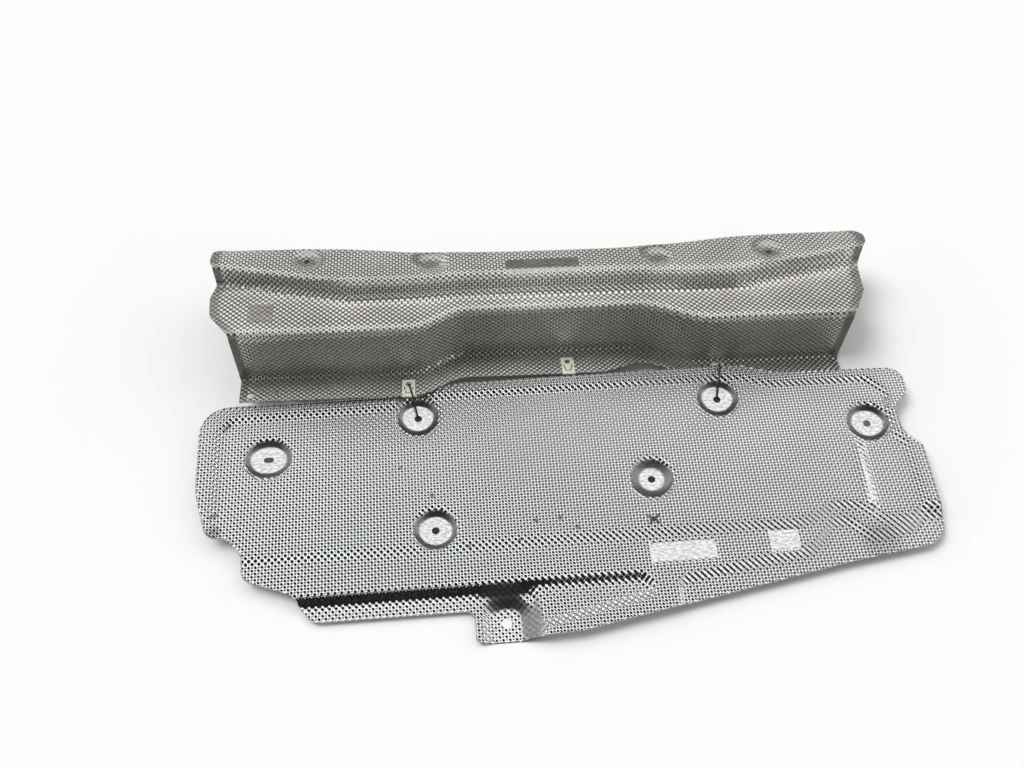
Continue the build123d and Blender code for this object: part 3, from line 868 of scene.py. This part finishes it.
def floor():
    """A plain pale floor that takes the object's shadow."""
    bpy.ops.mesh.primitive_plane_add(size=FLOOR_WIDTH)
    plane = bpy.context.object
    plane.name = "floor"
    material, _, shader = new_material("floor")
    shader.inputs["Base Color"].default_value = FLOOR_TONE
    shader.inputs["Roughness"].default_value = 1.0
    shader.inputs["Specular IOR Level"].default_value = 0.0
    plane.data.materials.append(material)


# The sky: angles in degrees, and shares of the way to either side
SKY_TURN = 12
SKY_WALLS = (34, 39)
SKY_WALL_DROP = 30
SKY_ENDS = (0.55, 0.8)
SKY_LOW = (31, 43)
SKY_HIGH = (75, 93)
SKY_LEFT = (0.68, 1.0)
SKY_RIGHT = (0.7, 1.0)
SKY_DARK = (0.02, 0.02, 0.02)
SKY_BRIGHT = (1.35, 1.35, 1.35)
SKY_PALE = (1, 1, 1)


def world():
    """Soft room light: a long bright strip high at the back, dim round it, and pale walls, tall at the ends.
    The strip gives the domes their bright and dark sides."""
    sky = bpy.data.worlds.new("studio")
    bpy.context.scene.world = sky
    sky.use_nodes = True
    nodes = Nodes(sky.node_tree)
    way = nodes.add("ShaderNodeTexCoord", {}, {}).outputs["Generated"]
    turn = math.radians(SKY_TURN)
    height = nodes.part(way, (0, 0, 1))
    back = nodes.part(way, (math.sin(turn), math.cos(turn), 0))
    side = nodes.part(way, (math.cos(turn), -math.sin(turn), 0))
    rise = nodes.maths("DEGREES", nodes.maths("ARCTAN2", height, back))
    share = nodes.between(rise, *SKY_LOW)
    share = nodes.maths("MULTIPLY", share, nodes.between(rise, *SKY_HIGH, 1.0, 0.0))
    share = nodes.maths("MULTIPLY", share, nodes.between(side, *SKY_RIGHT, 1.0, 0.0))
    other = nodes.maths("MULTIPLY", side, -1.0)
    share = nodes.maths("MULTIPLY", share, nodes.between(other, *SKY_LEFT, 1.0, 0.0))
    strip = nodes.mix(share, SKY_DARK, SKY_BRIGHT)
    level = nodes.maths("DEGREES", nodes.maths("ARCSINE", height))
    ends = nodes.between(nodes.maths("ABSOLUTE", side), *SKY_ENDS, 1.0, 0.0)
    level = nodes.maths("MULTIPLY_ADD", ends, SKY_WALL_DROP, level)
    walls = nodes.between(level, *SKY_WALLS, 1.0, 0.0)
    background = sky.node_tree.nodes["Background"]
    nodes.tree.links.new(nodes.mix(walls, strip, SKY_PALE), background.inputs["Color"])


def fill(name, energy, angle, way):
    """A broad soft light that lights matt surfaces and doesn't show in the metal."""
    lamp = bpy.data.lights.new(name, "SUN")
    lamp.angle = math.radians(angle)
    lamp.energy = energy
    sun = bpy.data.objects.new(name, lamp)
    sun.visible_glossy = False
    sun.rotation_euler = Vector(way).to_track_quat("-Z", "Y").to_euler()
    bpy.context.scene.collection.objects.link(sun)


# The camera: focal length and picture width in pixels, and its place from the flat shield's rear left corner
SENSOR_WIDTH = 36
FOCAL_PIXELS = 1150
PHOTO_PIXELS = 1024
CAMERA_PLACE = (0.3035, -0.7264, 1.154)
CAMERA_TILT = 32.5
CAMERA_TURN = -4.5


def camera():
    """The photograph's view, set off from the flat shield's rear left corner."""
    low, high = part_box("flat_shield")
    lens = bpy.data.cameras.new("camera")
    lens.sensor_width = SENSOR_WIDTH
    lens.lens = SENSOR_WIDTH * FOCAL_PIXELS / PHOTO_PIXELS
    eye = bpy.data.objects.new("camera", lens)
    eye.location = Vector((low.x, high.y, 0)) + Vector(CAMERA_PLACE)
    eye.rotation_euler = (math.radians(CAMERA_TILT), 0, math.radians(CAMERA_TURN))
    bpy.context.scene.collection.objects.link(eye)
    bpy.context.scene.camera = eye


floor()
world()
fill("rear_fill", 1.7, 30, (0.8, -0.3, -1.6))
fill("front_fill", 0.45, 60, (0, 1, -1.2))
camera()
bpy.context.scene.view_settings.view_transform = "Standard"
